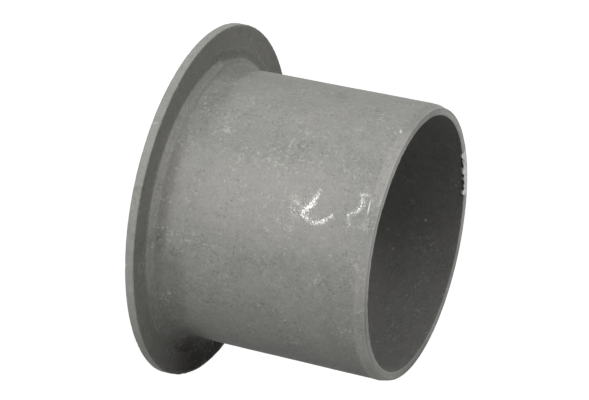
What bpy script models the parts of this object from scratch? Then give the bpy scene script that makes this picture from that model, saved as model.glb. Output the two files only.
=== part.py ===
"""Flanged bush for the eye of a leaf spring: one thin sleeve with a thin flange.

Metres, +Z up. The bush stands on the back of its flange, with the origin at the
centre of that face and its axis along Z. The free end of the sleeve points up.
"""
import bpy
import bmesh
from math import ceil
from math import cos
from math import pi
from math import radians
from math import sin
from math import tan

# Sleeve
BORE_DIAMETER = 0.0553
WALL_THICKNESS = 0.00235
OVERALL_LENGTH = 0.0500

# Flange: how far it stands out past the barrel, and its thickness
FLANGE_WIDTH = 0.0093
FLANGE_THICKNESS = 0.0020
RIM_EDGE_RADIUS = 0.00025

# Stepped cove between the flange and the barrel, from the flange inwards:
# a tight foot, a slope up to a rounded ring, and a wide throat that starts at a lower slope
FOOT_RADIUS = 0.0007
FOOT_SLOPE = radians(45)
SLOPE_RUN = 0.0015
RING_RADIUS = 0.0006
THROAT_SLOPE = radians(29)
THROAT_RADIUS = 0.0039

# Nose: a shallow lead-in cone that helps the bush into the spring eye, and a round corner
LEAD_IN_LENGTH = 0.0020
LEAD_IN_ANGLE = radians(15)
NOSE_CORNER_RADIUS = 0.00040

# Edges of the bore
MOUTH_EDGE_RADIUS = 0.00020
HEEL_CHAMFER = 0.0008

# Smoothness of the round surfaces
TURNS = 120
ARC_STEP = radians(20)
SHARP_ANGLE = radians(35)
WELD_DISTANCE = 0.000001

# Finish
STEEL_COLOUR = (0.335, 0.330, 0.312, 1.0)
STEEL_METALLIC = 0.25
STEEL_ROUGHNESS = 0.62


def clear_scene():
    for obj in list(bpy.data.objects):
        bpy.data.objects.remove(obj, do_unlink=True)


def step_count(turn):
    return max(2, ceil(abs(turn) / ARC_STEP))


def arc(centre_x, centre_z, radius, start, end):
    """Points of an arc in the XZ plane, both ends included; angles run from +X towards +Z."""
    steps = step_count(end - start)
    angles = [start + (end - start) * i / steps for i in range(steps + 1)]
    return [(centre_x + radius * cos(a), centre_z + radius * sin(a)) for a in angles]


class Path:
    """An outline drawn like a pen stroke: straight runs, and arcs that start tangent to them."""

    def __init__(self, x, z, heading):
        self.points = [(x, z)]
        self.heading = heading

    def run(self, length):
        x, z = self.points[-1]
        self.points.append((x + length * cos(self.heading), z + length * sin(self.heading)))

    def bend(self, radius, turn):
        """Arc of the given radius; a positive turn bends to the left of the heading."""
        x, z = self.points[-1]
        side = 1 if turn > 0 else -1
        centre_x = x - side * radius * sin(self.heading)
        centre_z = z + side * radius * cos(self.heading)
        start = self.heading - side * pi / 2
        self.points += arc(centre_x, centre_z, radius, start, start + turn)[1:]
        self.heading += turn


def nose_outline(barrel_radius):
    """From the barrel up the lead-in cone and round the corner onto the end face."""
    cone_top_radius = barrel_radius - LEAD_IN_LENGTH * tan(LEAD_IN_ANGLE)
    corner_turn = pi / 2 - LEAD_IN_ANGLE
    # The corner is tangent to the cone and to the end face, so the cone stops short of the end
    corner_rise = NOSE_CORNER_RADIUS * (1 - sin(LEAD_IN_ANGLE))
    corner_centre_z = OVERALL_LENGTH - NOSE_CORNER_RADIUS
    cone_end_radius = cone_top_radius + corner_rise * tan(LEAD_IN_ANGLE)
    corner_centre_x = cone_end_radius - NOSE_CORNER_RADIUS * cos(LEAD_IN_ANGLE)
    corner = arc(corner_centre_x, corner_centre_z, NOSE_CORNER_RADIUS,
                 LEAD_IN_ANGLE, LEAD_IN_ANGLE + corner_turn)
    return [(barrel_radius, OVERALL_LENGTH - LEAD_IN_LENGTH)] + corner


def cove_outline(barrel_radius):
    """From the flat of the flange over the ring to the barrel, ending on the barrel's radius."""
    path = Path(0.0, FLANGE_THICKNESS, pi)
    path.bend(FOOT_RADIUS, -FOOT_SLOPE)
    path.run(SLOPE_RUN)
    path.bend(RING_RADIUS, FOOT_SLOPE - THROAT_SLOPE)
    path.bend(THROAT_RADIUS, -(pi / 2 - THROAT_SLOPE))
    reach = path.points[-1][0]
    return [(x - reach + barrel_radius, z) for x, z in path.points]


def rim_outline(flange_radius):
    """The edge of the flange, from its front face round to its back face."""
    inner = flange_radius - RIM_EDGE_RADIUS
    front = arc(inner, FLANGE_THICKNESS - RIM_EDGE_RADIUS, RIM_EDGE_RADIUS, pi / 2, 0.0)
    back = arc(inner, RIM_EDGE_RADIUS, RIM_EDGE_RADIUS, 0.0, -pi / 2)
    return front + back


def bore_outline(bore_radius):
    """From the chamfer at the flange end up the bore to the rounded edge of the mouth."""
    heel = [(bore_radius + HEEL_CHAMFER, 0.0), (bore_radius, HEEL_CHAMFER)]
    mouth = arc(bore_radius + MOUTH_EDGE_RADIUS, OVERALL_LENGTH - MOUTH_EDGE_RADIUS,
                MOUTH_EDGE_RADIUS, pi, pi / 2)
    return heel + mouth


def bush_outline():
    """The closed half section of the bush, drawn down the outside and up the bore."""
    bore_radius = BORE_DIAMETER / 2
    barrel_radius = bore_radius + WALL_THICKNESS
    nose_down = list(reversed(nose_outline(barrel_radius)))
    cove_down = list(reversed(cove_outline(barrel_radius)))
    rim_down = rim_outline(barrel_radius + FLANGE_WIDTH)
    bore_up = bore_outline(bore_radius)
    return nose_down + cove_down + rim_down + bore_up


def turned_mesh(name, outline, turns):
    """Turns a closed outline in the XZ plane once round Z into a closed mesh."""
    shape = bmesh.new()
    verts = [shape.verts.new((x, 0.0, z)) for x, z in outline]
    edges = [shape.edges.new((a, b)) for a, b in zip(verts, verts[1:] + verts[:1])]
    bmesh.ops.spin(shape, geom=verts + edges, cent=(0, 0, 0), axis=(0, 0, 1),
                   angle=2 * pi, steps=turns, use_merge=True)
    bmesh.ops.remove_doubles(shape, verts=shape.verts, dist=WELD_DISTANCE)
    bmesh.ops.recalc_face_normals(shape, faces=shape.faces)
    mesh = bpy.data.meshes.new(name)
    shape.to_mesh(mesh)
    shape.free()
    mesh.shade_smooth()
    mesh.set_sharp_from_angle(angle=SHARP_ANGLE)
    return mesh


def dull_steel():
    material = bpy.data.materials.new("dull_grey_steel")
    material.use_nodes = True
    shader = material.node_tree.nodes["Principled BSDF"]
    shader.inputs["Base Color"].default_value = STEEL_COLOUR
    shader.inputs["Metallic"].default_value = STEEL_METALLIC
    shader.inputs["Roughness"].default_value = STEEL_ROUGHNESS
    return material


def make_bush():
    mesh = turned_mesh("flanged_bush", bush_outline(), TURNS)
    mesh.materials.append(dull_steel())
    bush = bpy.data.objects.new("flanged_bush", mesh)
    bpy.context.scene.collection.objects.link(bush)
    return bush


clear_scene()
make_bush()
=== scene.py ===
# %% [markdown]
# A flanged bush for the eye of a leaf spring.
# The real part is one thin steel sleeve with a thin flange at one end. It was blasted to a dull
# grey, and handling has left pits, rubbed marks and a rough edge at the mouth.
# The solid from the CAD step is loaded first, because it gives the size and the place of
# everything that follows. The bush stands on its flange, with its axis along Z.

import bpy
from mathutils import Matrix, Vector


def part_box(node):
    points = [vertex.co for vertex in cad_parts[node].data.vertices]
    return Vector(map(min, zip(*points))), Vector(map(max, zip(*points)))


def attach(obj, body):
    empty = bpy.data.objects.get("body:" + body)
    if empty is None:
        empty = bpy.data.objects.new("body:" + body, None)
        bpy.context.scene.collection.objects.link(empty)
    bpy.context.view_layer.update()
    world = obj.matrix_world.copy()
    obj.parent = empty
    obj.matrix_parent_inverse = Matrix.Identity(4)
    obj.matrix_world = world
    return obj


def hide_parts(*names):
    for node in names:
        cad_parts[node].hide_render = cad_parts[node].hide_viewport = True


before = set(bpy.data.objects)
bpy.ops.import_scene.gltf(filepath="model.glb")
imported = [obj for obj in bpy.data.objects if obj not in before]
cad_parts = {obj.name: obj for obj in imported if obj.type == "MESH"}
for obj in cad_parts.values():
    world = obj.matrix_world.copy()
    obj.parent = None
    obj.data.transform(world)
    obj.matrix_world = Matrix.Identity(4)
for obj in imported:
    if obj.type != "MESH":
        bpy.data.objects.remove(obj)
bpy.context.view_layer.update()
NODE = "flanged_bush"
cad_low, cad_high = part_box(NODE)
print("CAD box in mm:", [round(v * 1000, 2) for v in (*cad_low, *cad_high)])

# %% Modules
from math import ceil
from math import cos
from math import pi
from math import radians
from math import sin
from math import tan

import bpy
import numpy as np
from mathutils import Matrix
from mathutils import Vector
from mathutils import noise

MM = 0.001

# %% [markdown]
# The camera stands where the photograph was taken from: about half a metre away and twenty
# degrees above the level, with a long lens. In the picture the bush lies on its side, so the
# camera is rolled about its line of sight, which leaves the bush itself standing. A camera could
# also be aimed with a constraint, but a place, an aim and a roll are easy to read.

# %% Camera
CAMERA_PLACE = Vector((-0.00120, -0.51152, 0.21745))
CAMERA_AIM = Vector((-0.00376, -0.00002, 0.02020))
CAMERA_ROLL = radians(101.888)
CAMERA_LENS_MM = 154.374


def aimed(place, aim, roll):
    """Turns an object's -Z towards the aim, then rolls it about that line."""
    facing = (aim - place).to_track_quat("-Z", "Y").to_matrix().to_4x4()
    return Matrix.Translation(place) @ facing @ Matrix.Rotation(roll, 4, "Z")


camera_data = bpy.data.cameras.new("photo_camera")
camera_data.lens = CAMERA_LENS_MM
camera_data.clip_start = 0.01
camera = bpy.data.objects.new("photo_camera", camera_data)
camera.matrix_world = aimed(CAMERA_PLACE, CAMERA_AIM, CAMERA_ROLL)
bpy.context.scene.collection.objects.link(camera)
bpy.context.scene.camera = camera
print("camera to aim:", round((CAMERA_AIM - CAMERA_PLACE).length, 3), "m")

# %% [markdown]
# The light is that of a small studio with a white table. A low strip stands on the table
# beside the camera and gives the barrel its fall from light to dark, while it only grazes the
# face of the flange. Two softer lamps come from the side, and a weaker one from behind keeps the
# back readable. Each lamp is given by a direction and by the brightness that it gives a
# white card facing it, so that 1 means that a colour renders as it is written. The power follows
# from the distance.

# %% Lamps
LAMP_DISTANCE = 0.9


def add_lamp(name, azimuth, elevation, brightness, width, height):
    """A lamp that looks at the middle of the bush from the given direction."""
    middle = (cad_low + cad_high) / 2
    level = cos(radians(elevation))
    direction = Vector((level * cos(radians(azimuth)), level * sin(radians(azimuth)),
                        sin(radians(elevation))))
    data = bpy.data.lights.new(name, "AREA")
    data.shape = "RECTANGLE"
    data.size = width
    data.size_y = height
    data.energy = brightness * pi * pi * LAMP_DISTANCE ** 2
    lamp = bpy.data.objects.new(name, data)
    lamp.matrix_world = aimed(middle + direction * LAMP_DISTANCE, middle, 0.0)
    bpy.context.scene.collection.objects.link(lamp)
    print(name, "power", round(data.energy, 2), "W")
    return lamp


add_lamp("strip_lamp", azimuth=-103, elevation=0.5, brightness=0.49, width=0.42, height=0.06)
add_lamp("near_lamp", azimuth=-130, elevation=24, brightness=0.10, width=0.35, height=0.35)
add_lamp("side_lamp", azimuth=-160, elevation=24, brightness=0.135, width=0.35, height=0.35)
add_lamp("back_lamp", azimuth=118, elevation=1.2, brightness=0.3, width=0.5, height=0.08)

# %% [markdown]
# The background is white. The surround and the floor look white to the camera and in
# reflections, but light the bush only as a dim room would: the Light Path node tells the two
# kinds of ray apart. The floor keeps a little of its real shading, so the shadow stays. Nodes could
# be placed and linked by hand in the Shader Editor. A few short helpers do it here, and the
# material of the bush uses them again.

# %% Helpers for nodes
def feed(tree, socket, value):
    """Links a node's output to an input socket, or sets the socket to a plain value."""
    if hasattr(value, "links"):
        tree.links.new(value, socket)
    else:
        socket.default_value = value


def new_node(tree, kind, **values):
    """A node with some of its inputs fed by name; an underscore stands for a space."""
    node = tree.nodes.new(kind)
    for name, value in values.items():
        feed(tree, node.inputs[name.replace("_", " ")], value)
    return node


def maths(tree, operation, first, second=0.0, clamp=False):
    """One Math node; each value is a socket or a number. Returns its output."""
    node = tree.nodes.new("ShaderNodeMath")
    node.operation = operation
    node.use_clamp = clamp
    feed(tree, node.inputs[0], first)
    feed(tree, node.inputs[1], second)
    return node.outputs[0]


def largest(tree, first, *others):
    """The highest of several values."""
    for other in others:
        first = maths(tree, "MAXIMUM", first, other)
    return first


# %% Surround
SURROUND_BRIGHTNESS = 0.14
bpy.context.scene.view_settings.view_transform = "Standard"


def seen_rays(tree):
    """1 for rays that show the background: camera, glossy and transmission rays."""
    path = tree.nodes.new("ShaderNodeLightPath")
    kinds = ("Is Camera Ray", "Is Glossy Ray", "Is Transmission Ray")
    return largest(tree, *[path.outputs[kind] for kind in kinds])


world = bpy.data.worlds.new("studio_surround")
world.use_nodes = True
surround = world.node_tree
strength = new_node(surround, "ShaderNodeMix", Factor=seen_rays(surround),
                    A=SURROUND_BRIGHTNESS, B=1.0)
background = surround.nodes["Background"]
background.inputs["Color"].default_value = (1.0, 1.0, 1.0, 1.0)
feed(surround, background.inputs["Strength"], strength.outputs["Result"])
bpy.context.scene.world = world
print("surround lights the bush at", SURROUND_BRIGHTNESS)

# %% Floor
FLOOR_SIZE = 6.0
FLOOR_COLOUR = (0.8, 0.8, 0.8, 1.0)
FLOOR_BOUNCE = 0.17
FLOOR_SHADE = (0.3, 0.3, 0.3, 1.0)
FLOOR_GLOW = 0.97


def floor_material():
    """The floor as it lights the bush, and the floor as the camera sees it."""
    material = bpy.data.materials.new("white_floor")
    material.use_nodes = True
    tree = material.node_tree
    tree.nodes.remove(tree.nodes["Principled BSDF"])
    mix = tree.nodes.new("ShaderNodeMixShader")
    feed(tree, mix.inputs[0], seen_rays(tree))
    for slot, colour, glow in ((1, FLOOR_COLOUR, FLOOR_BOUNCE), (2, FLOOR_SHADE, FLOOR_GLOW)):
        both = tree.nodes.new("ShaderNodeAddShader")
        plain = new_node(tree, "ShaderNodeBsdfDiffuse", Color=colour)
        shining = new_node(tree, "ShaderNodeEmission", Strength=glow)
        feed(tree, both.inputs[0], plain.outputs[0])
        feed(tree, both.inputs[1], shining.outputs[0])
        feed(tree, mix.inputs[slot], both.outputs[0])
    feed(tree, tree.nodes["Material Output"].inputs["Surface"], mix.outputs[0])
    return material


floor_data = bpy.data.meshes.new("floor")
half = FLOOR_SIZE / 2
floor_corners = [(-half, -half, 0.0), (half, -half, 0.0), (half, half, 0.0), (-half, half, 0.0)]
floor_data.from_pydata(floor_corners, [], [(0, 1, 2, 3)])
floor_data.materials.append(floor_material())
floor = bpy.data.objects.new("floor", floor_data)
bpy.context.scene.collection.objects.link(floor)
print("floor", FLOOR_SIZE, "m square")

# %% [markdown]
# The shape of the bush is one half section turned round the axis. The CAD solid has 120 flat
# strips and perfect surfaces. A close view needs more: the section is drawn again here with the
# same sizes and cut into short steps, so that the mesh has enough points to carry real pits, nicks
# and waves. The outside sizes come from the frame, and the rest are the part's own.

# %% Sizes of the section
OUTER_RADIUS = cad_high.x
LENGTH = cad_high.z
BARREL_RADIUS = 0.0300
BORE_RADIUS = 0.02765
FLANGE_THICKNESS = 0.0020
RIM_EDGE_RADIUS = 0.00025
FOOT_RADIUS = 0.0007
FOOT_SLOPE = radians(45)
SLOPE_RUN = 0.0015
RING_RADIUS = 0.0006
THROAT_SLOPE = radians(29)
THROAT_RADIUS = 0.0039
LEAD_IN_LENGTH = 0.0020
LEAD_IN_ANGLE = radians(15)
NOSE_CORNER_RADIUS = 0.00040
MOUTH_EDGE_RADIUS = 0.00020
HEEL_CHAMFER = 0.0008
print("flange", round(2000 * OUTER_RADIUS, 1), "mm across, length", round(1000 * LENGTH, 1), "mm")

# %% Pen that draws the section
def arc(centre_x, centre_z, radius, start, end, steps):
    """Points of an arc, both ends included; angles run from +X towards +Z."""
    angles = [start + (end - start) * i / steps for i in range(steps + 1)]
    return [(centre_x + radius * cos(a), centre_z + radius * sin(a)) for a in angles]


def straight(start, end, step):
    """Points from start to end, both included, no further apart than the step."""
    dx, dz = end[0] - start[0], end[1] - start[1]
    count = max(1, ceil((dx ** 2 + dz ** 2) ** 0.5 / step))
    return [(start[0] + dx * i / count, start[1] + dz * i / count) for i in range(count + 1)]


class Path:
    """An outline drawn like a pen stroke: straight runs, and arcs that start tangent to them."""

    def __init__(self, x, z, heading):
        self.points = [(x, z)]
        self.heading = heading

    def run(self, length, step):
        x, z = self.points[-1]
        end = (x + length * cos(self.heading), z + length * sin(self.heading))
        self.points += straight((x, z), end, step)[1:]

    def bend(self, radius, turn, steps):
        x, z = self.points[-1]
        side = 1 if turn > 0 else -1
        centre_x = x - side * radius * sin(self.heading)
        centre_z = z + side * radius * cos(self.heading)
        start = self.heading - side * pi / 2
        self.points += arc(centre_x, centre_z, radius, start, start + turn, steps)[1:]
        self.heading += turn


# %% Zones of the section
COVE_STEP = 0.00035
FINE_BORE_DEPTH = 0.0013


def cove_outline():
    """From the flat of the flange over the ring to the barrel."""
    path = Path(0.0, FLANGE_THICKNESS, pi)
    path.bend(FOOT_RADIUS, -FOOT_SLOPE, 3)
    path.run(SLOPE_RUN, COVE_STEP)
    path.bend(RING_RADIUS, FOOT_SLOPE - THROAT_SLOPE, 2)
    path.bend(THROAT_RADIUS, -(pi / 2 - THROAT_SLOPE), 11)
    reach = path.points[-1][0]
    return [(x - reach + BARREL_RADIUS, z) for x, z in path.points]


def nose_corner():
    """The round corner between the lead-in cone and the end face."""
    rise = NOSE_CORNER_RADIUS * (1 - sin(LEAD_IN_ANGLE))
    cone_end = BARREL_RADIUS - (LEAD_IN_LENGTH - rise) * tan(LEAD_IN_ANGLE)
    centre_x = cone_end - NOSE_CORNER_RADIUS * cos(LEAD_IN_ANGLE)
    return arc(centre_x, LENGTH - NOSE_CORNER_RADIUS, NOSE_CORNER_RADIUS,
               LEAD_IN_ANGLE, pi / 2, 5)


def section_zones():
    """The closed section as named zones, drawn up the outside and down the bore."""
    cove = cove_outline()
    corner = nose_corner()
    rim_x = OUTER_RADIUS - RIM_EDGE_RADIUS
    back_edge = arc(rim_x, RIM_EDGE_RADIUS, RIM_EDGE_RADIUS, -pi / 2, 0.0, 4)
    front_edge = arc(rim_x, FLANGE_THICKNESS - RIM_EDGE_RADIUS, RIM_EDGE_RADIUS, 0.0, pi / 2, 4)
    mouth = arc(BORE_RADIUS + MOUTH_EDGE_RADIUS, LENGTH - MOUTH_EDGE_RADIUS,
                MOUTH_EDGE_RADIUS, pi / 2, pi, 4)
    below_mouth = (BORE_RADIUS, LENGTH - MOUTH_EDGE_RADIUS - FINE_BORE_DEPTH)
    heel_out = (BORE_RADIUS + HEEL_CHAMFER, 0.0)
    heel_in = (BORE_RADIUS, HEEL_CHAMFER)
    cone_start = (BARREL_RADIUS, LENGTH - LEAD_IN_LENGTH)
    return [
        ("back", straight(heel_out, back_edge[0], 0.0015)),
        ("rim", back_edge),
        ("rim", straight(back_edge[-1], front_edge[0], 0.0004)),
        ("rim", front_edge),
        ("face", straight(front_edge[-1], cove[0], 0.00045)),
        ("cove", cove),
        ("barrel", straight(cove[-1], cone_start, 0.0005)),
        ("nose", straight(cone_start, corner[0], 0.0004)),
        ("nose", corner),
        ("lip", straight(corner[-1], mouth[0], 0.0003)),
        ("mouth", mouth),
        ("bore", straight(mouth[-1], below_mouth, 0.00026)),
        ("bore", straight(below_mouth, heel_in, 0.0012)),
        ("heel", straight(heel_in, heel_out, 0.0006)),
    ]


# %% Points of the section
section = []
section_zone = []
for zone_name, run_points in section_zones():
    section += run_points[:-1]
    section_zone += [zone_name] * (len(run_points) - 1)
zone_points = {zone: section_zone.count(zone) for zone in dict.fromkeys(section_zone)}
print(len(section), "points in the section:", zone_points)

# %% [markdown]
# The turned mesh is a grid: one row for each point of the section, one column for each step
# round the axis. Blender's Spin tool or Screw modifier would make the same surface. It is
# written as a grid here because each point then has a known row and column, and so a known zone,
# height and angle, which the relief and the painted wear below both need.

# %% Turn the section into a grid
COLUMNS = 480
section_radius = np.array([p[0] for p in section])
section_height = np.array([p[1] for p in section])
turn_angle = np.arange(COLUMNS) * 2 * pi / COLUMNS
grid_angle, grid_radius = np.meshgrid(turn_angle, section_radius)
grid_height = np.repeat(section_height[:, None], COLUMNS, axis=1)
grid_zone = np.repeat(np.array(section_zone)[:, None], COLUMNS, axis=1)
ROWS = len(section)
print("grid of", ROWS, "by", COLUMNS, "points,", 2 * ROWS * COLUMNS, "triangles")

# %% Outward direction of each row
# The section is drawn anticlockwise, so outward is to the right of its run
run_radius = np.roll(section_radius, -1) - np.roll(section_radius, 1)
run_height = np.roll(section_height, -1) - np.roll(section_height, 1)
run_length = np.hypot(run_radius, run_height)
out_radius = np.repeat((run_height / run_length)[:, None], COLUMNS, axis=1)
out_height = np.repeat((-run_radius / run_length)[:, None], COLUMNS, axis=1)

# %% [markdown]
# The relief is what tells a real blasted part from a perfect one. Broad waves come from the
# forming, a fine unevenness from the blasting, and pits and nicks from use. Nearly all of it goes
# inwards from the true surface, by hundredths of a millimetre, so the bush keeps its real size.
# A Displace modifier with a texture could do it. Numbers are used here, so that wear and dirt can
# follow the relief. Noise is read at each point's place in space, so it has no seam.

# %% Noise on the grid
def place_noise(scale, offset=(0.0, 0.0, 0.0)):
    """Smooth noise from about -1 to 1 at every grid point; scale is the size of a feature."""
    x = grid_radius * np.cos(grid_angle) / scale + offset[0]
    y = grid_radius * np.sin(grid_angle) / scale + offset[1]
    z = grid_height / scale + offset[2]
    flat = [noise.noise(Vector(p)) for p in zip(x.ravel(), y.ravel(), z.ravel())]
    return np.array(flat).reshape(grid_radius.shape)


def zone_mask(*names):
    return np.isin(grid_zone, names).astype(float)


WAVE_SIZE = 0.011
WAVE_DEPTH = 0.00005
PEEN_SIZE = 0.0016
PEEN_DEPTH = 0.00003
waves = 0.5 + 0.5 * place_noise(WAVE_SIZE)
peen = 0.5 + 0.5 * place_noise(PEEN_SIZE, offset=(7.0, 3.0, 1.0))
inward = WAVE_DEPTH * waves + PEEN_DEPTH * peen
inward *= 1 - zone_mask("back", "heel")
print("waves and peening up to", round(inward.max() * 1000, 3), "mm deep")

# %% Pits
PIT_COUNT = 260
COVE_PIT_COUNT = 60
RIM_PIT_COUNT = 120
PIT_SEED = 11
PIT_RADIUS_MM = (0.35, 0.8)
PIT_DEPTH_MM = (0.03, 0.09)
chance = np.random.default_rng(PIT_SEED)


def around(angle):
    """Difference of each column's angle from the given one, between -pi and pi."""
    return (grid_angle - angle + pi) % (2 * pi) - pi


def stamp(field, angle, height, radius, depth, rows):
    """Adds a round dimple of the given depth to the rows it touches."""
    far = np.hypot(around(angle)[rows] * grid_radius[rows], grid_height[rows] - height)
    field[rows] += depth * np.clip(1 - (far / radius) ** 2, 0, 1)


def add_pits(field, count, low, high, zones):
    rows_in_zone = np.isin(section_zone, zones)
    for _ in range(count):
        height = chance.uniform(low, high)
        radius = chance.uniform(*PIT_RADIUS_MM) * MM
        rows = rows_in_zone & (abs(section_height - height) < radius)
        angle = chance.uniform(0, 2 * pi)
        stamp(field, angle, height, radius, chance.uniform(*PIT_DEPTH_MM) * MM, rows)


add_pits(inward, PIT_COUNT, 0.006, LENGTH - LEAD_IN_LENGTH, ["barrel"])
add_pits(inward, COVE_PIT_COUNT, 0.0025, 0.007, ["cove", "barrel"])
add_pits(inward, RIM_PIT_COUNT, 0.0, FLANGE_THICKNESS, ["rim"])
pit_total = PIT_COUNT + COVE_PIT_COUNT + RIM_PIT_COUNT
print(pit_total, "pits, deepest point", round(inward.max() * 1000, 3), "mm")

# %% Rough rim
RIM_ROUGH_SIZE = 0.0013
RIM_ROUGH_DEPTH = 0.00016
rim_rough = 0.5 + 0.9 * place_noise(RIM_ROUGH_SIZE, offset=(3.0, 8.0, 2.0))
front_rim = zone_mask("rim") * np.clip(grid_height / FLANGE_THICKNESS, 0, 1)
inward += RIM_ROUGH_DEPTH * np.clip(rim_rough, 0, 1) * front_rim
print("rim roughness up to", RIM_ROUGH_DEPTH * 1000, "mm")

# %% [markdown]
# The cove is the roughest part of the bush. It waves in and out, and its foot is crisp where the
# tool cut last and soft on the other side. The waves fade in from the flange and out towards the
# barrel, so that they leave no step. The foot is softened by filling the corner with a parabola,
# which is close to a larger round.

# %% Uneven cove
COVE_WAVE_SIZE = 0.007
COVE_WAVE_DEPTH = 0.00022
COVE_RIPPLE_SIZE = 0.0026
COVE_RIPPLE_DEPTH = 0.00012


def ramp(value, low, high):
    """Rises smoothly from 0 at low to 1 at high."""
    share = np.clip((value - low) / (high - low), 0, 1)
    return share * share * (3 - 2 * share)


def height_window(rise, fall):
    """1 between two heights: it sets in over the first pair and fades over the second, in mm."""
    risen = ramp(grid_height, rise[0] * MM, rise[1] * MM)
    return risen * (1 - ramp(grid_height, fall[0] * MM, fall[1] * MM))


on_outside = zone_mask("cove", "barrel")
cove_window = height_window((2.0, 3.0), (4.5, 9.5)) * on_outside
cove_wave = 0.5 + 0.5 * place_noise(COVE_WAVE_SIZE, offset=(2.0, 9.0, 4.0))
cove_ripple = 0.5 + 0.5 * place_noise(COVE_RIPPLE_SIZE, offset=(4.0, 1.0, 6.0))
inward += (COVE_WAVE_DEPTH * cove_wave + COVE_RIPPLE_DEPTH * cove_ripple) * cove_window
print("cove waves up to", (COVE_WAVE_DEPTH + COVE_RIPPLE_DEPTH) * 1000, "mm")

# %% Soft foot of the cove
FILL_REACH = 0.0014
FILL_RADIUS = 0.0035
CRISP_SIDE = (-95, 35, 60)
CRISP_SHARE = 0.15


def arc_window(middle, full, end):
    """1 within some degrees of an angle, fading to 0 further from it; all in degrees."""
    return 1 - ramp(abs(around(radians(middle))), radians(full), radians(end))


section_steps = np.hypot(np.diff(section_radius), np.diff(section_height))
along = np.concatenate([[0], np.cumsum(section_steps)])
from_foot = abs(along - along[section_zone.index("cove") + 1])
fill = np.clip(FILL_REACH - from_foot, 0, None) ** 2 / (2 * FILL_RADIUS)
softness = 1 - (1 - CRISP_SHARE) * arc_window(*CRISP_SIDE)
print("foot filled by up to", round(fill.max() * 1000, 2), "mm")

# %% [markdown]
# A turned part is never quite true. The nose of this one is cut a little deeper on one side, the
# mouth has been opened by use, the sleeve widens by a hair towards the nose, the cove is cut back
# on its upper side, and the rim is worn on the low side. One could bend the mesh with a Lattice.
# Here each fault is a smooth window in angle and height times a depth, because the depth then
# stays in one place, as a number that can be read. Where the end face has to keep its height, a
# point moves straight towards the axis and not along the surface's own direction.

# %% Uneven nose and sleeve
NOSE_FULL_SIDE = radians(20)
NOSE_LEAN = 0.00014
NOSE_LEAN_FROM = 0.0035
NOSE_LEAN_FULL = 0.0006
MOUTH_OPENED = 0.00018
MOUTH_OPENED_DEPTH = 0.0030
SLEEVE_WIDENS = 0.00004
SLEEVE_WIDENS_OVER = (0.020, 0.045)
LOW_SIDE_FLAT = 0.00005
FLAT_SIDE = (-7, 15, 35)
FLAT_SIDE_ENDS = (0.008, 0.018)
nose_rise = ramp(grid_height, LENGTH - NOSE_LEAN_FROM, LENGTH - NOSE_LEAN_FULL)
nose_rise *= zone_mask("barrel", "nose")
moved_in = -NOSE_LEAN * np.cos(around(NOSE_FULL_SIDE)) * nose_rise
opened = ramp(grid_height, LENGTH - MOUTH_OPENED_DEPTH, LENGTH - MOUTH_EDGE_RADIUS)
inward += MOUTH_OPENED * opened * zone_mask("bore", "mouth")
sleeve = zone_mask("cove", "barrel", "nose")
moved_in -= SLEEVE_WIDENS * (1 + ramp(grid_height, *SLEEVE_WIDENS_OVER)) * sleeve
flattened = arc_window(*FLAT_SIDE) * (1 - ramp(grid_height, *FLAT_SIDE_ENDS))
moved_in += LOW_SIDE_FLAT * flattened * sleeve
print("nose uneven by", NOSE_LEAN * 1000, "mm, mouth opened by", MOUTH_OPENED * 1000, "mm")

# %% Cove cut back on one side
# There the cove reaches less far out over the flange, but never deeper than most of its own height
CUT_SIDE = (175, 20, 84)
CUT_STRAIGHT_IN = (175, 22, 42)
CUT_DEPTH = 0.0010
CUT_SHARE_OF_COVE = 0.75
cut_side = arc_window(*CUT_SIDE)
cove_height = np.clip(grid_radius - BARREL_RADIUS, 0, None)
cut = cut_side * np.minimum(CUT_DEPTH, CUT_SHARE_OF_COVE * cove_height) * zone_mask("cove")
# In its middle the cut goes straight into the surface, and towards its ends it moves the cove in
straight_in = arc_window(*CUT_STRAIGHT_IN)
moved_in += cut * (1 - straight_in)
inward += cut * straight_in
# The fill of the foot is a little lumpy, and the cut has taken it away
inward -= fill[:, None] * softness * (0.7 + 0.6 * cove_ripple) * (1 - cut_side)
print("cove cut back by up to", round(cut.max() * 1000, 2), "mm")

# %% Rim worn on one side
WORN_RIM = (22, 18, 38)
WORN_RIM_DEPTH = 0.00022
WORN_RIM_FROM = 0.0375
near_rim = ramp(grid_radius, WORN_RIM_FROM, OUTER_RADIUS - RIM_EDGE_RADIUS)
moved_in += WORN_RIM_DEPTH * arc_window(*WORN_RIM) * near_rim
print("rim worn by", WORN_RIM_DEPTH * 1000, "mm")

# %% [markdown]
# The mouth is rough on one side: small flakes of metal stand into the bore along the edge,
# and a nick is broken out of it on the other side. Sculpting would do. They are points moved by a
# rule here, and not paint, because they show against the dark bore. Flakes only go into the bore,
# so that the bush never stands higher than its real length.

# %% Flakes and nicks at the mouth
# Each flake: its angle, half its width in degrees, and how far it stands into the bore in mm
FLAKES = [(139.0, 1.8, 0.70), (133.9, 0.8, 0.24), (130.0, 2.3, 0.78), (125.5, 1.0, 0.48),
          (121.8, 0.8, 0.28), (118.4, 1.5, 0.68), (113.0, 0.9, 0.20), (144.5, 1.0, 0.20),
          (140.0, 11.0, 0.18), (-88.0, 9.0, 0.17)]
# Each nick: its angle, half its width in degrees, and its depth in mm
NICKS = [(135.6, 0.9, 0.15), (127.2, 0.7, 0.15), (123.4, 0.8, 0.18), (115.8, 0.9, 0.15),
         (165.2, 1.2, 0.20), (108.0, 3.5, 0.15), (-114.5, 1.0, 0.45), (95.0, 1.4, 0.20),
         (20.0, 1.5, 0.20), (-35.0, 1.2, 0.15)]
MOUTH_ROUGH_SIZE = 0.0016
MOUTH_ROUGH_DEPTH = 0.00010


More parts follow.
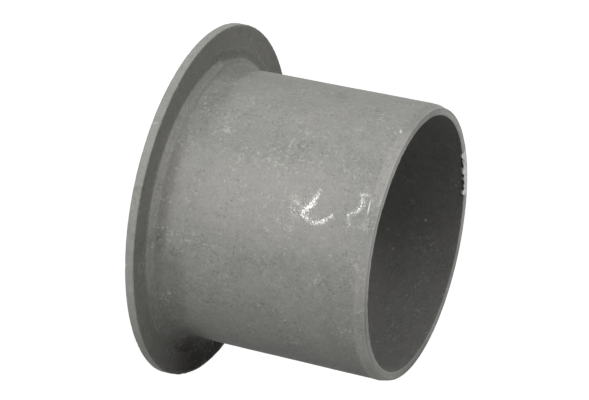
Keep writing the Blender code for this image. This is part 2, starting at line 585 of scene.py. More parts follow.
def tooth(angle, half_width):
    """1 at the angle (degrees), falling to 0 at half a width to each side."""
    return np.clip(1 - (around(radians(angle)) / radians(half_width)) ** 2, 0, 1)


at_mouth = zone_mask("mouth")
flake = np.zeros_like(grid_radius)
for flake_angle, half_width, stand in FLAKES:
    flake = np.maximum(flake, stand * tooth(flake_angle, half_width))
moved_in += flake * MM * at_mouth
for nick_angle, half_width, depth in NICKS:
    inward += depth * MM * tooth(nick_angle, half_width) * at_mouth
mouth_rough = place_noise(MOUTH_ROUGH_SIZE, offset=(6.0, 2.0, 5.0))
inward += MOUTH_ROUGH_DEPTH * np.clip(0.3 + mouth_rough, 0, 1) * zone_mask("mouth", "lip")
print(len(FLAKES), "flakes stand up to", round(flake.max(), 2), "mm into the bore")

# %% [markdown]
# Wear is painted on the points as attributes, in the way that one would use Vertex Paint,
# but from real places: an angle round the axis and a height along it. Each rubbed mark is a few
# short strokes. The material breaks the strokes up into scratches, so the mesh only has to hold
# their outline.

# %% Painted strokes
# Each stroke: angle and height of its start, angle and height of its end (degrees, mm), half its
# width in mm, and how much of it is rubbed bright
CROOK_STROKES = [
    (-102.6, 36.5, -99.6, 36.2, 0.95, 0.85),
    (-99.6, 36.2, -97.2, 35.8, 1.07, 1.11),
    (-97.2, 35.8, -94.7, 34.9, 1.13, 1.12),
    (-94.7, 34.9, -92.3, 34.1, 1.19, 1.06),
    (-92.3, 34.3, -90.6, 35.3, 1.07, 0.95),
    (-90.6, 35.3, -90.0, 36.6, 0.95, 0.95),
    (-90.0, 36.6, -90.2, 38.0, 1.01, 0.98),
    (-90.2, 38.0, -91.6, 39.3, 1.01, 1.00),
    (-91.6, 39.3, -93.9, 40.2, 0.89, 0.95),
]
CROOK_HALO_STROKES = [
    (-98.6, 30.3, -96.2, 32.4, 1.23, 0.74),
    (-96.2, 32.4, -94.5, 34.2, 1.34, 0.78),
    (-90.2, 31.6, -91.4, 33.8, 1.46, 0.65),
    (-94.0, 31.6, -92.0, 33.2, 1.68, 0.67),
    (-92.6, 36.4, -90.4, 37.6, 1.12, 0.56),
    (-97.5, 34.3, -95.5, 33.6, 1.34, 0.65),
    (-101.5, 35.0, -98.5, 35.0, 1.12, 0.62),
]
FAINT_STROKES = [
    (-105.4, 27.2, -103.0, 27.9, 1.47, 0.53),
    (-114.9, 27.0, -112.3, 26.6, 1.37, 0.50),
    (-110.3, 24.0, -109.8, 26.0, 0.63, 0.58),
    (-107.0, 30.0, -105.8, 31.0, 1.37, 0.44),
    (-88.0, 24.0, -87.0, 26.0, 0.95, 0.50),
    (-112.5, 34.5, -109.8, 36.2, 0.95, 0.46),
    (-104.0, 22.5, -101.0, 24.0, 2.31, 0.40),
    (-97.0, 26.0, -94.0, 28.5, 1.89, 0.42),
    (-108.0, 46.5, -99.0, 48.6, 1.20, 0.25),
]
HOOK_STROKES = [
    (-104.9, 45.4, -103.2, 45.9, 0.89, 0.95),
    (-103.2, 45.9, -101.4, 46.6, 1.01, 0.84),
    (-101.6, 46.1, -99.4, 45.9, 0.89, 0.90),
    (-99.4, 45.9, -97.4, 45.4, 0.89, 0.99),
    (-97.4, 45.4, -95.7, 43.9, 0.80, 0.92),
    (-95.7, 43.7, -93.8, 44.3, 0.78, 0.92),
    (-93.8, 44.3, -92.4, 44.6, 0.80, 0.85),
    (-105.0, 45.0, -104.6, 47.2, 0.70, 0.88),
    (-92.5, 43.6, -88.6, 44.4, 1.12, 0.56),
]
CHIP_STROKES = [
    (-138.0, 47.7, -136.4, 47.9, 0.55, 1.10),
    (-131.2, 47.9, -129.6, 48.2, 0.70, 0.68),
    (-124.2, 47.9, -122.6, 48.1, 0.90, 0.55),
    (-109.2, 49.6, -108.4, 49.7, 0.40, 0.80),
    (-104.9, 49.6, -101.2, 49.6, 0.38, 0.85),
    (-98.9, 49.6, -98.3, 49.6, 0.45, 0.80),
    (-87.2, 49.6, -86.6, 49.6, 0.45, 0.80),
]


def stroke_distance(start_angle, start_height, end_angle, end_height):
    """Distance over the surface from a stroke's centre line, in mm."""
    u = around(radians(start_angle)) * grid_radius
    v = grid_height - start_height * MM
    du = radians(end_angle - start_angle) * BARREL_RADIUS
    dv = (end_height - start_height) * MM
    share = np.clip((u * du + v * dv) / (du * du + dv * dv), 0, 1)
    return np.hypot(u - share * du, v - share * dv) / MM


def paint(strokes, zones):
    mask = np.zeros_like(grid_radius)
    for *ends, half_width, amount in strokes:
        mask = np.maximum(mask, amount * np.exp(-(stroke_distance(*ends) / half_width) ** 2))
    return mask * zone_mask(*zones)


# %% Rubbed marks
# The far edge of the mouth is rubbed along an arc: its middle, half width and end in degrees
BROKEN_EDGE = ["mouth", "lip"]
RUBBED_ARC = (128.5, 10, 14)
RUBBED_ARC_AMOUNT = 1.15
FLAKE_BRIGHT = 1.4
FLAKE_BRIGHT_BELOW = 1.3
TORN_DOWN_FROM = 0.0011
TORN_DOWN_FULL = 0.0007
scuff = paint(CROOK_STROKES + CROOK_HALO_STROKES + FAINT_STROKES + HOOK_STROKES, ["barrel"])
scuff = np.maximum(scuff, paint(CHIP_STROKES, ["barrel", "nose", "lip"]))
torn = np.clip(flake / 0.25 - 0.7, 0, 1)
scuff = np.maximum(scuff, FLAKE_BRIGHT * torn * zone_mask(*BROKEN_EDGE))
rubbed_arc = arc_window(*RUBBED_ARC)
scuff = np.maximum(scuff, RUBBED_ARC_AMOUNT * rubbed_arc * zone_mask(*BROKEN_EDGE))
# The flakes are torn a little way down the wall of the bore
torn_down = ramp(grid_height, LENGTH - TORN_DOWN_FROM, LENGTH - TORN_DOWN_FULL) * zone_mask("bore")
scuff = np.maximum(scuff, FLAKE_BRIGHT_BELOW * torn * torn_down)
print("points under a rubbed mark:", int((scuff > 0.1).sum()))

# %% [markdown]
# Larger areas are painted next: a pale speckled patch, edges that shine from use with a painted
# highlight on the near side of the lip, and places a little brighter and warmer. These are partly
# hand wear and partly painted light: a painted sheen along the barrel and painted light deep in
# the bore. Each is a window in angle and height, and a table lists those that need nothing more. A
# brush would be quicker to draw with, but a row in a table can be moved or widened by a number,
# and says what it is.

# %% Patches from a table
ALL_ROUND = (0, 180, 190)
FROM_BELOW = (-2, -1)
TO_THE_TOP = (60, 61)


def lay_patches(mask, patches):
    """Lays patches over a mask; where they meet, the stronger one stays."""
    for arc_place, rise, fall, zones, amount in patches:
        patch = amount * arc_window(*arc_place) * height_window(rise, fall)
        mask = np.maximum(mask, patch * zone_mask(*zones))
    return mask


# %% Pale patch
# It lies between the marks and the flange: angle, height, half widths
PALE_PATCH = (radians(-102), 0.0285, radians(18), 0.0075)
PALE_NOSE = 0.20
PALE_RIM = 0.25
pale = np.hypot(around(PALE_PATCH[0]) / PALE_PATCH[2],
                (grid_height - PALE_PATCH[1]) / PALE_PATCH[3])
pale = np.clip(1.2 - pale, 0, 1) * zone_mask("barrel")
nose_band = height_window((47.3, 48.1), TO_THE_TOP) * zone_mask("barrel", "nose")
pale = np.maximum(pale, np.maximum(PALE_NOSE * nose_band, PALE_RIM * zone_mask("rim")))
print("points under the pale patch:", int((pale > 0.5).sum()))

# %% Worn edges, and a painted highlight on the near side of the lip
near_side = arc_window(-98, 22, 45)
low_side = arc_window(-10, 20, 42)
less_worn = arc_window(28, 8, 24)
far_lip = arc_window(142, 38, 55)
WORN_EDGE_MOST = 1.4
RIM_EDGE_REACH = 0.0006
RIM_EDGE_WEAR = 0.30
nose_corner_worn = zone_mask("nose") * ramp(grid_height, LENGTH - 0.0006, LENGTH - 0.0004)
edge = 0.42 * low_side * nose_band
edge = np.maximum(edge, (0.15 + 0.15 * near_side + 0.5 * low_side) * nose_corner_worn)
# On the lip and the mouth the near side is painted brighter than the wear alone: a painted
# highlight
edge += (0.80 + 0.45 * near_side + 0.40 * far_lip - 0.28 * less_worn) * zone_mask("lip")
edge += (0.7 + 0.4 * near_side + 0.4 * far_lip) * at_mouth
at_rim_edge = np.clip(1 - abs(grid_radius - OUTER_RADIUS) / RIM_EDGE_REACH, 0, 1)
edge += at_rim_edge * zone_mask("rim") * RIM_EDGE_WEAR
edge = np.clip(edge, 0, WORN_EDGE_MOST)
print("points on worn edges:", int((edge > 0.5).sum()))

# %% Handled places, a painted sheen and painted light in the bore
# Each patch: its arc, the heights where it sets in and where it fades, its zones and its amount
HANDLED_AND_LIT_PATCHES = [
    ((-119, 13, 24), (47.3, 48.1), TO_THE_TOP, ["barrel", "nose"], 1.1),
    ((-57, 20, 36), (47.3, 48.1), TO_THE_TOP, ["barrel", "nose"], 0.75),
    ((-155, 28, 38), (6.0, 10.0), TO_THE_TOP, ["barrel"], 0.32),
    # This row is painted light: the bore is painted brighter deep down on this side
    ((58, 20, 38), FROM_BELOW, (30.0, 39.0), ["bore"], 1.8),
    (ALL_ROUND, (45.5, 49.0), TO_THE_TOP, ["bore"], 0.5),
]
# A painted sheen along the near side of the barrel, fading towards the flange and the nose
handled_and_sheen = arc_window(-95, 8, 24) * on_outside
handled_and_sheen *= 0.5 + 0.5 * ramp(grid_height, 0.009, 0.015)
handled_and_sheen *= 1 - 0.75 * ramp(grid_height, 0.036, 0.047)
face_side = ramp(around(radians(-130)), 0, radians(30))
handled_face = (0.55 * arc_window(-180, 14, 34) + 0.2 * face_side) * zone_mask("face")
handled_and_sheen = lay_patches(np.maximum(handled_and_sheen, handled_face), HANDLED_AND_LIT_PATCHES)
print(len(HANDLED_AND_LIT_PATCHES), "handled patches painted")

# %% [markdown]
# Dirt and painted shade are laid in next: in the cove, on the flange beside it, and in the bore.
# Some dirt collects where nothing rubs it off. Painted shade darkens the cove further, makes the
# low corner nearly black and darkens one side of the bore. It is what makes the steps of the cove
# readable in the photograph. A Dirty Vertex Colors pass would find the hollows, but it would treat
# all sides alike, and here each side has its own darkening: a narrow valley on the near side, a
# broad film further up, and a black corner below.

# %% Grime and painted shade in the cove and on the flange
# Each patch is written as the handled ones are
DIRT_AND_SHADE_PATCHES = [
    ((-150, 18, 32), FROM_BELOW, (3.4, 4.2), ["cove", "barrel"], 0.26),
    # This row is painted shadow on the low side of the cove
    ((-15, 15, 45), (2.8, 4.2), (4.0, 10.0), ["cove", "barrel"], 0.22),
    ((-49, 10, 24), (4.0, 4.8), (6.5, 11.0), ["cove", "barrel"], 0.46),
    ((-52, 18, 30), (38.0, 43.0), (47.0, 48.0), ["barrel"], 0.15),
    ((-148, 10, 24), FROM_BELOW, TO_THE_TOP, ["face"], 0.16),
    ((-98, 20, 42), FROM_BELOW, TO_THE_TOP, ["rim"], 0.30),
    # This row is painted shade on one side of the upper bore
    ((60, 35, 85), (26.0, 37.0), TO_THE_TOP, ["bore"], 0.46),
]


def span_window(start, rise, end, fall):
    """1 from one angle to another: it sets in and fades over the given degrees."""
    risen = ramp(around(radians(start)), 0, radians(rise))
    return risen * (1 - ramp(around(radians(end)), 0, radians(fall)))


upper_side = arc_window(-170, 14, 33)
base = 0.34 - 0.14 * arc_window(-118, 16, 26)
base *= (1 - upper_side) * (1 - 0.9 * arc_window(-141, 3, 14))
grime_and_shade = base * height_window((2.0, 3.0), (4.2, 6.8)) * on_outside
# On the upper side a band of dirt and painted shade lies between the ring and the barrel, and has
# an edge
dirt_edge = 0.0045 + 0.0031 * upper_side + 0.0008 * (cove_ripple - 0.5)
dirt_and_shade = ramp(grid_height, 0.0026, 0.0034)
dirt_and_shade *= 1 - ramp(grid_height, dirt_edge - 0.0007, dirt_edge + 0.0007)
grime_and_shade = np.maximum(grime_and_shade, 0.50 * upper_side * dirt_and_shade * on_outside)
# On the near side it fills the valley behind the ring
valley = span_window(-122, 14, -55, 25) * height_window((3.2, 3.7), (4.4, 5.7))
valley *= 0.38 + 0.22 * arc_window(-84, 14, 32) + 0.30 * (cove_ripple - 0.5)
grime_and_shade = np.maximum(grime_and_shade, valley * on_outside)
# Further up it is a broad thin film
film = span_window(-152, 10, -122, 14) * height_window((3.4, 4.4), (6.0, 10.8))
grime_and_shade = np.maximum(grime_and_shade, 0.34 * film * on_outside)
# The flange has a little dirt all round, and painted shadow on its low side by the cove
close_to_cove = 1 - ramp(grid_radius, 0.0335, 0.0385)
face_dirt_and_shade = 0.04 + arc_window(-15, 15, 45) * (0.13 + 0.15 * close_to_cove)
grime_and_shade = np.maximum(grime_and_shade, face_dirt_and_shade * zone_mask("face"))
grime_and_shade = lay_patches(grime_and_shade, DIRT_AND_SHADE_PATCHES)
print(len(DIRT_AND_SHADE_PATCHES), "patches of dirt painted")

# %% Painted shadow in the low corner, and the shaded mouth
# A nearly black painted shadow lies where flange and cove turn away underneath, and ends in a
# ragged edge
SHADE_EDGE_SIZE = 0.005
SHADE_EDGE_WANDERS = radians(11)
FACE_CORNER_SHADE = 1.6
COVE_CORNER_SHADE = 1.45
SHADED_MOUTH = 1.1
ragged = SHADE_EDGE_WANDERS * place_noise(SHADE_EDGE_SIZE, offset=(5.0, 5.0, 2.0))
corner_side = np.clip((around(0) + radians(32)) / radians(46), 0, 1)
corner_side *= 1 - ramp(around(radians(27)) + ragged, 0, radians(34))
corner_depth = 1 - 0.5 * ramp(grid_radius, 0.0382, 0.0391)
grime_and_shade = np.maximum(grime_and_shade, FACE_CORNER_SHADE * corner_side * corner_depth * zone_mask("face"))
corner_below = ramp(around(radians(-32)), 0, radians(36))
corner_below *= 1 - ramp(around(radians(8)) + ragged, 0, radians(34))
corner_below *= height_window(FROM_BELOW, (8.0, 12.5))
grime_and_shade = np.maximum(grime_and_shade, COVE_CORNER_SHADE * corner_below * on_outside)
# Between the flakes the wall just below the mouth is in their shadow and dirty
grime_and_shade = np.maximum(grime_and_shade, SHADED_MOUTH * rubbed_arc * (1 - torn) * torn_down)
print("most grime:", round(grime_and_shade.max(), 2))

# %% Dark spots
# They stand along the inner side of the ring: angle, height in mm, radius in mm
DARK_SPOTS = [(-130.8, 5.5, 0.45), (-127, 7.0, 0.5), (-125, 7.8, 0.6), (-124, 8.8, 0.5),
              (-114, 3.2, 0.6), (-112, 3.9, 0.6), (-110, 3.4, 0.5), (-117, 5.2, 0.5),
              (-104, 5.4, 0.5), (-101, 2.6, 0.6), (-99, 3.2, 0.5), (-93, 5.0, 0.8),
              (-90, 6.2, 0.6), (-84, 5.2, 0.8), (-77, 5.4, 0.7)]
SPOT_DARKNESS = 0.78
spots = np.zeros_like(grid_radius)
for spot_angle, spot_height, spot_radius in DARK_SPOTS:
    rows = abs(section_height - spot_height * MM) < spot_radius * MM
    stamp(spots, radians(spot_angle), spot_height * MM, spot_radius * MM, SPOT_DARKNESS, rows)
spots *= on_outside
print(len(DARK_SPOTS), "dark spots painted")

# %% [markdown]
# Now the points are moved and the faces made. from_pydata takes plain lists of points and faces,
# and is the shortest way from a grid of numbers to a mesh. The painted masks go with it as
# attributes of the points, where the material can read them by name.

# %% Build the mesh
FOOT_ROUND = 0.00035
SHARP_ANGLE = radians(50)
PAINTED_MASKS = {"scuff": scuff, "pale": pale, "edge": edge, "grime_and_shade": grime_and_shade, "spots": spots,
                 "handled_and_sheen": handled_and_sheen}


def grid_faces(rows, columns):
    """The four corners of every face; the last row and column join the first."""
    row, column = np.meshgrid(np.arange(rows), np.arange(columns), indexing="ij")
    next_row = (row + 1) % rows
    next_column = (column + 1) % columns
    corners = [row * columns + column, row * columns + next_column,
               next_row * columns + next_column, next_row * columns + column]
    return np.stack(corners, axis=-1).reshape(-1, 4)


moved_radius = grid_radius - inward * out_radius - moved_in
moved_height = grid_height - inward * out_height
# The cove never sinks below the flange: near it, its height levels out in a small round
above_flange = moved_height - FLANGE_THICKNESS
levelled = FLANGE_THICKNESS + (np.hypot(above_flange, FOOT_ROUND) + above_flange) / 2
level_share = cut_side * straight_in * zone_mask("cove")
moved_height = levelled * level_share + moved_height * (1 - level_share)
grid_points = np.stack([moved_radius * np.cos(grid_angle), moved_radius * np.sin(grid_angle),
                        moved_height], -1).reshape(-1, 3)
bush_mesh = bpy.data.meshes.new("bush_skin")
bush_mesh.from_pydata(grid_points.tolist(), [], grid_faces(ROWS, COLUMNS).tolist())
bush_mesh.shade_smooth()
bush_mesh.set_sharp_from_angle(angle=SHARP_ANGLE)
for mask_name, mask in PAINTED_MASKS.items():
    layer = bush_mesh.attributes.new(mask_name, "FLOAT", "POINT")
    layer.data.foreach_set("value", mask.astype(np.float32).ravel())
bush = bpy.data.objects.new("bush_skin", bush_mesh)
bpy.context.scene.collection.objects.link(bush)
print(len(bush_mesh.polygons), "faces")

# %% [markdown]
# The finish is one dull grey with four things in it: fine grain, broad patches that are a
# little warmer or cooler, small dark pits and bright grains, and rubbed metal. Each one is a
# node group with named inputs, so that the outside and the bore can use the same effects in
# different strengths. A group only gives masks, colours and heights. The shader stays in the
# material.

# %% Helpers for node groups
def new_group(name, inputs, outputs=(("Mask", "Float"),)):
    """A node group with a Vector input and more sockets: each is a name, a kind and a value."""
    group = bpy.data.node_groups.new(name, "ShaderNodeTree")
    for socket_name, kind, value in [("Vector", "Vector", None)] + inputs:
        socket = group.interface.new_socket(socket_name, in_out="INPUT",
                                            socket_type="NodeSocket" + kind)
        if value is not None:
            socket.default_value = value
    for socket_name, kind in outputs:
        group.interface.new_socket(socket_name, in_out="OUTPUT", socket_type="NodeSocket" + kind)
    given = group.nodes.new("NodeGroupInput").outputs
    return group, given, group.nodes.new("NodeGroupOutput").inputs


def remap(tree, value, low, high, new_low=0.0, new_high=1.0):
    """A clamped Map Range node. Returns its output."""
    return new_node(tree, "ShaderNodeMapRange", Value=value, From_Min=low, From_Max=high,
                    To_Min=new_low, To_Max=new_high).outputs["Result"]


def noise_value(tree, vector, size, detail, roughness=0.5, finer=1.0):
    """Noise with features of the given size in metres, or some times finer."""
    return new_node(tree, "ShaderNodeTexNoise", Vector=vector, Detail=detail, Roughness=roughness,
                    Scale=maths(tree, "DIVIDE", finer, size)).outputs["Fac"]


# %% Grain group
def grain_group():
    """Blasted grain: a tone that wavers round 1 and a height for the bump."""
    group, given, result = new_group(
        "blasted_grain",
        [("Grain Size", "Float", 0.0004), ("Contrast", "Float", 0.2)],
        [("Tone", "Float"), ("Height", "Float")])
    fine = noise_value(group, given["Vector"], given["Grain Size"], 3.0, 0.65)
    coarse = noise_value(group, given["Vector"], given["Grain Size"], 2.0, finer=0.3)
    height = maths(group, "ADD", maths(group, "MULTIPLY", fine, 0.65),
                   maths(group, "MULTIPLY", coarse, 0.35))
    swing = maths(group, "MULTIPLY", maths(group, "SUBTRACT", height, 0.5), given["Contrast"])
    feed(group, result["Tone"], maths(group, "ADD", swing, 1.0))
    feed(group, result["Height"], height)
    return group


GRAIN = grain_group()
print(GRAIN.name, "made")


# %% Speck group
def speck_group():
    """Scattered round specks: pits or bright grains, more of them as Share rises."""
    group, given, result = new_group(
        "scattered_specks",
        [("Spacing", "Float", 0.001), ("Share", "Float", 0.2), ("Radius", "Float", 0.2)])
    density = maths(group, "DIVIDE", 1.0, given["Spacing"])
    cells = new_node(group, "ShaderNodeTexVoronoi", Vector=given["Vector"], Scale=density)
    parts = new_node(group, "ShaderNodeSeparateColor", Color=cells.outputs["Color"]).outputs
    picked = maths(group, "LESS_THAN", parts["Red"], given["Share"])
    size = maths(group, "MULTIPLY", parts["Green"], given["Radius"])
    inside = remap(group, cells.outputs["Distance"], 0.0, size, 1.0, 0.0)
    feed(group, result["Mask"], maths(group, "MULTIPLY", inside, picked))
    return group


SPECKS = speck_group()
print(SPECKS.name, "made")


# %% Patch group
def colour_mix(tree, blend, factor, first, second):
    node = tree.nodes.new("ShaderNodeMix")
    node.data_type = "RGBA"
    node.blend_type = blend
    for socket_name, value in (("Factor", factor), ("A", first), ("B", second)):
        feed(tree, node.inputs[socket_name], value)
    return node.outputs["Result"]


def patch_group():
    """Broad soft patches between two tints."""
    group, given, result = new_group(
        "tint_patches",
        [("Patch Size", "Float", 0.006), ("Warm", "Color", (0.35, 0.34, 0.33, 1.0)),
         ("Cool", "Color", (0.33, 0.34, 0.32, 1.0))],
        [("Color", "Color")])
    share = remap(group, noise_value(group, given["Vector"], given["Patch Size"], 3.0, 0.55),
                  0.3, 0.7)
    feed(group, result["Color"], colour_mix(group, "MIX", share, given["Warm"], given["Cool"]))
    return group


PATCHES = patch_group()
print(PATCHES.name, "made")


# %% Fleck group
def fleck_group():
    """Irregular flecks that gather in clusters; Amount makes them cover more."""
    group, given, result = new_group(
        "clustered_flecks",
        [("Size", "Float", 0.0008), ("Cluster Size", "Float", 0.005), ("Amount", "Float", 0.0)])
    fine = noise_value(group, given["Vector"], given["Size"], 3.0, 0.6)
    cluster = noise_value(group, given["Vector"], given["Cluster Size"], 1.0)
    lift = maths(group, "MULTIPLY", maths(group, "SUBTRACT", cluster, 0.5), 0.5)
    level = maths(group, "ADD", maths(group, "ADD", fine, lift), given["Amount"])
    feed(group, result["Mask"], remap(group, level, 0.6, 0.72))
    return group


FLECKS = fleck_group()
print(FLECKS.name, "made")


# %% Curl group
def curl_group():
    """Thin curved bits of line: the places where a smooth noise crosses its middle, broken up."""
    group, given, result = new_group(
        "fine_curls",
        [("Size", "Float", 0.0014), ("Line Width", "Float", 0.02)])
    field = noise_value(group, given["Vector"], given["Size"], 1.5)
    away = maths(group, "ABSOLUTE", maths(group, "SUBTRACT", field, 0.5))
    line = remap(group, away, 0.0, given["Line Width"], 1.0, 0.0)
    breaks = noise_value(group, given["Vector"], given["Size"], 2.0, finer=1.3)
    kept = remap(group, breaks, 0.5, 0.62)
    feed(group, result["Mask"], maths(group, "MULTIPLY", line, kept))
    return group


CURLS = curl_group()
print(CURLS.name, "made")


# %% Scratch group
def scratch_group():
    """Breaks a painted mask into short scratches: only the tops of a rough noise stay."""
    group, given, result = new_group(
        "broken_scratches",
        [("Painted", "Float", 0.0), ("Scratch Size", "Float", 0.0005)])
    broken = noise_value(group, given["Vector"], given["Scratch Size"], 4.0, 0.7)
    # A strongly painted point needs only a low noise to show, a weak one needs a peak
    threshold = remap(group, given["Painted"], 0.0, 1.3, 0.74, 0.33)
    peak = maths(group, "SUBTRACT", broken, threshold)
    feed(group, result["Mask"], maths(group, "MULTIPLY", peak, 7.0, clamp=True))
    return group


SCRATCHES = scratch_group()
print(SCRATCHES.name, "made")


# %% Hairline group
def vector_maths(tree, operation, first, second):
    """One Vector Math node; each value is a socket. Returns its outputs."""
    node = tree.nodes.new("ShaderNodeVectorMath")
    node.operation = operation
    feed(tree, node.inputs[0], first)
    feed(tree, node.inputs["Scale" if operation == "SCALE" else 1], second)
    return node.outputs


def hairline_group():
    """A thin straight scratch from Start to End, too narrow for the mesh to carry as paint."""
    group, given, result = new_group(
        "hairline_scratch",
        [("Start", "Vector", None), ("End", "Vector", None), ("Width", "Float", 0.0002)])
    offset = vector_maths(group, "SUBTRACT", given["Vector"], given["Start"])["Vector"]
    run = vector_maths(group, "SUBTRACT", given["End"], given["Start"])["Vector"]
    reach = vector_maths(group, "DOT_PRODUCT", offset, run)["Value"]
    whole = vector_maths(group, "DOT_PRODUCT", run, run)["Value"]
    share = maths(group, "DIVIDE", reach, whole, clamp=True)
    nearest = vector_maths(group, "SCALE", run, share)["Vector"]
    away = vector_maths(group, "DISTANCE", offset, nearest)["Value"]
    inside = remap(group, away, 0.0, given["Width"], 1.0, 0.0)
    # The line thins out towards its ends
    middle = maths(group, "ABSOLUTE", maths(group, "SUBTRACT", share, 0.5))
    thinned = maths(group, "MULTIPLY", inside, remap(group, middle, 0.3, 0.5, 1.0, 0.4))
    feed(group, result["Mask"], thinned)
    return group


HAIRLINE = hairline_group()
print(HAIRLINE.name, "made")

# %% [markdown]
# The material puts the groups together, as layers from the metal up: the tint comes first, the
# grain makes it lighter and darker, hand wear with a painted sheen, dirt with painted shade and
# pits follow, and pale flecks, bright grains and rubbed metal lie on top, with a lower roughness
# and more metal. One Bump node carries the fine grain, which is too small for the mesh.

# %% Helpers for the material
def placed(tree, group, vector, **values):
    """A group node with its inputs fed by name; returns its outputs."""
    node = tree.nodes.new("ShaderNodeGroup")
    node.node_tree = group
    feed(tree, node.inputs["Vector"], vector)
    for socket_name, value in values.items():
        feed(tree, node.inputs[socket_name.replace("_", " ")], value)
    return node.outputs


def painted(tree, name):
    node = tree.nodes.new("ShaderNodeAttribute")
    node.attribute_name = name
    return node.outputs["Fac"]


def scaled(tree, value, factor):
    return maths(tree, "MULTIPLY", value, factor)


# %% Hairlines
# Each one: angle and height of its two ends (degrees, mm), half its width in mm, its strength
HAIRLINES = [(-103.0, 47.6, -97.4, 47.8, 0.18, 0.85), (-97.4, 47.8, -92.6, 47.5, 0.14, 0.22),
             (-118.8, 38.0, -116.1, 39.6, 0.16, 0.30), (-79.0, 33.0, -74.0, 36.0, 0.15, 0.22)]
# Bright grains in the bore, written in the same way
BORE_MARKS = [(101.4, 41.4, 101.8, 41.7, 0.46, 0.85), (85.1, 35.1, 85.5, 35.4, 0.42, 0.65),
              (93.6, 33.0, 94.0, 33.3, 0.38, 0.40), (90.5, 43.7, 90.9, 43.9, 0.38, 0.50),
              (91.9, 35.6, 92.3, 35.9, 0.34, 0.35)]


def on_round(radius, angle, height):
    """The point at an angle in degrees and a height in mm on a round surface."""
    return Vector((radius * cos(radians(angle)), radius * sin(radians(angle)), height * MM))


def hairline_marks(tree, place, radius, lines):
    """All the hairlines of one surface as one mask."""
    total = 0.0
    for start_angle, start_height, end_angle, end_height, half_width, amount in lines:
        line = placed(tree, HAIRLINE, place, Start=on_round(radius, start_angle, start_height),
                      End=on_round(radius, end_angle, end_height), Width=half_width * MM)
        total = maths(tree, "ADD", scaled(tree, line["Mask"], amount), total, clamp=True)
    return total


print(len(HAIRLINES), "hairlines outside,", len(BORE_MARKS), "bright grains in the bore")

# %% Fine effects
DARK_AMOUNT = -0.02
# Shifts the noise of the dark marks, so that they don't lie where the pale ones do
ELSEWHERE = (0.31, 0.17, 0.23)


def fine_effects(tree, place, pale_amount):
    """The masks of the fine effects by name; more pale flecks as the amount rises."""
    elsewhere = vector_maths(tree, "ADD", place, ELSEWHERE)["Vector"]
    pale_level = maths(tree, "ADD", scaled(tree, painted(tree, "pale"), 0.11), pale_amount)
    dark_level = maths(tree, "ADD", scaled(tree, painted(tree, "grime_and_shade"), 0.03), DARK_AMOUNT)
    effects = {
        "pits": (SPECKS, place, dict(Spacing=0.0013, Share=0.2, Radius=0.3)),
        "bright grains": (SPECKS, place, dict(Spacing=0.0009, Share=0.12, Radius=0.34)),
        "pale flecks": (FLECKS, place, dict(Size=0.0008, Cluster_Size=0.005, Amount=pale_level)),
        "dark flecks": (FLECKS, elsewhere,
                        dict(Size=0.0007, Cluster_Size=0.006, Amount=dark_level)),
        "pale curls": (CURLS, place, dict(Size=0.0013, Line_Width=0.028)),
        "dark curls": (CURLS, elsewhere, dict(Size=0.0015, Line_Width=0.022)),
        "rubbed marks": (SCRATCHES, place,
                         dict(Painted=painted(tree, "scuff"), Scratch_Size=0.00032)),
        "edge scratches": (SCRATCHES, place,
                           dict(Painted=painted(tree, "edge"), Scratch_Size=0.0008)),
        "spots": (SCRATCHES, elsewhere,
                  dict(Painted=painted(tree, "spots"), Scratch_Size=0.0005)),
    }
    return {name: placed(tree, group, vector, **values)["Mask"]
            for name, (group, vector, values) in effects.items()}


# %% Layers of colour
BRIGHT_METAL = (0.82, 0.82, 0.80, 1.0)
PALE_METAL = (0.59, 0.60, 0.553, 1.0)
# The colour of hand wear, and of the painted sheen and the painted light in the bore
HANDLED_AND_SHEEN_COLOUR = (0.66, 0.60, 0.58, 1.0)
PIT_COLOUR = (0.10, 0.10, 0.09, 1.0)
DIRT_AND_SHADE_COLOUR = (0.112, 0.10, 0.088, 1.0)
# Nearly black painted shadow of the low corner, also used under the flakes at the mouth
SHADE_BLACK = (0.020, 0.020, 0.018, 1.0)
SHADE_BLACK_SHARE = 0.97
# How much each effect covers of the colour below it
COVER = {"hand wear and sheen": 0.20, "dirt_and_shade": 0.62, "dark flecks": 0.30, "pits": 0.55, "dark curls": 0.30,
         "spots": 0.68, "edges": 0.6, "edge scratches": 0.8, "pale flecks": 0.50,
         "pale curls": 0.32, "bright grains": 0.45, "rubbed marks": 1.0}


def cover(tree, masks, *names):
    """How much of the colour below the named effects cover together."""
    return largest(tree, *[scaled(tree, masks[name], COVER[name]) for name in names])


def coloured(tree, colour, masks, worn, bright):
    """Lays hand wear and painted sheen, dirt and painted shade, dark and pale marks and bright
    metal over a colour, in this order.
    """
    # Above 0.85 the grime attribute holds only painted shade, which this makes nearly black
    shade_black = remap(tree, masks["dirt_and_shade"], 0.85, 1.5, 0.0, SHADE_BLACK_SHARE)
    dirt_and_shade = maths(tree, "MULTIPLY", masks["dirt_and_shade"], COVER["dirt_and_shade"], clamp=True)
    dark = cover(tree, masks, "dark flecks", "pits", "dark curls", "spots")
    pale = largest(tree, cover(tree, masks, "pale flecks", "pale curls"), worn)
    layers = ((cover(tree, masks, "hand wear and sheen"), HANDLED_AND_SHEEN_COLOUR), (dirt_and_shade, DIRT_AND_SHADE_COLOUR),
              (shade_black, SHADE_BLACK), (dark, PIT_COLOUR), (pale, PALE_METAL),
              (bright, BRIGHT_METAL))
    for share, layer_colour in layers:
        colour = colour_mix(tree, "MIX", share, colour, layer_colour)
    return colour


# %% Steel finish
SPECULAR_LEVEL = 0.03
GRAIN_CONTRAST = 0.75
GRAIN_DEPTH = 0.00010


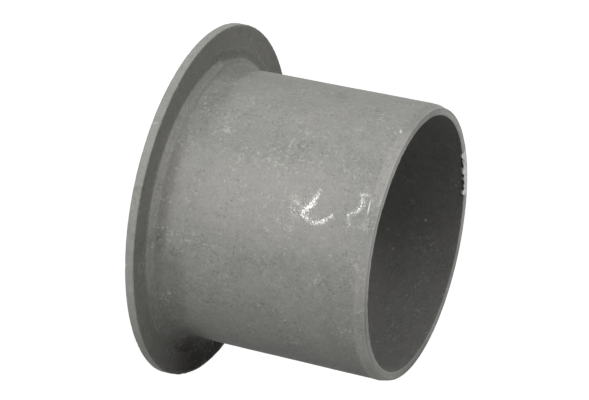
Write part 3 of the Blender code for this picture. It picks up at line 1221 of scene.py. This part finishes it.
def steel_finish(name, warm, cool, pale_amount, radius, lines):
    """The whole material of one surface."""
    material = bpy.data.materials.new(name)
    material.use_nodes = True
    tree = material.node_tree
    shader = tree.nodes["Principled BSDF"]
    place = tree.nodes.new("ShaderNodeTexCoord").outputs["Object"]
    tint = placed(tree, PATCHES, place, Patch_Size=0.006, Warm=warm, Cool=cool)["Color"]
    grain = placed(tree, GRAIN, place, Grain_Size=0.0005, Contrast=GRAIN_CONTRAST)
    masks = fine_effects(tree, place, pale_amount)
    masks.update({"hand wear and sheen": painted(tree, "handled_and_sheen"), "dirt_and_shade": painted(tree, "grime_and_shade"),
                  "edges": painted(tree, "edge")})
    worn = cover(tree, masks, "edge scratches", "edges")
    bright = largest(tree, cover(tree, masks, "bright grains", "rubbed marks"),
                     hairline_marks(tree, place, radius, lines))

    tone = new_node(tree, "ShaderNodeCombineColor", Red=grain["Tone"], Green=grain["Tone"],
                    Blue=grain["Tone"]).outputs["Color"]
    colour = colour_mix(tree, "MULTIPLY", 1.0, tint, tone)
    feed(tree, shader.inputs["Base Color"], coloured(tree, colour, masks, worn, bright))

    # Bare metal shines more
    bare = largest(tree, bright, scaled(tree, worn, 0.8))
    feed(tree, shader.inputs["Metallic"], remap(tree, bare, 0.0, 1.0, 0.0, 0.5))
    dull = remap(tree, grain["Height"], 0.3, 0.7, 0.56, 0.7)
    feed(tree, shader.inputs["Roughness"],
         maths(tree, "SUBTRACT", dull, scaled(tree, bare, 0.22)))
    shader.inputs["Specular IOR Level"].default_value = SPECULAR_LEVEL

    raised = maths(tree, "ADD", grain["Height"], scaled(tree, masks["pale flecks"], 0.4))
    sunk = maths(tree, "ADD", scaled(tree, masks["pits"], 0.6),
                 scaled(tree, masks["dark flecks"], 0.4))
    bump = new_node(tree, "ShaderNodeBump", Strength=1.0, Distance=GRAIN_DEPTH,
                    Height=maths(tree, "SUBTRACT", raised, sunk))
    feed(tree, shader.inputs["Normal"], bump.outputs["Normal"])
    return material


# %% Finish the outside and the bore
# The bore is a touch darker and has fewer pale flecks
outside = steel_finish("outside_steel", warm=(0.354, 0.352, 0.334, 1.0),
                       cool=(0.318, 0.325, 0.303, 1.0), pale_amount=-0.02,
                       radius=BARREL_RADIUS, lines=HAIRLINES)
inside = steel_finish("bore_steel", warm=(0.342, 0.336, 0.325, 1.0),
                      cool=(0.308, 0.316, 0.302, 1.0), pale_amount=-0.06,
                      radius=BORE_RADIUS, lines=BORE_MARKS)
bush_mesh.materials.append(outside)
bush_mesh.materials.append(inside)
row_material = np.isin(section_zone, ["bore", "heel"]).astype(np.int32)
bush_mesh.polygons.foreach_set("material_index", np.repeat(row_material, COLUMNS))
print("materials:", [m.name for m in bush_mesh.materials])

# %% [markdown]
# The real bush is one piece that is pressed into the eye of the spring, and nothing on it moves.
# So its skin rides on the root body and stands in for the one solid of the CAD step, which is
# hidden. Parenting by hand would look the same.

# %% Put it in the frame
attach(bush, "root")
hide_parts(NODE)
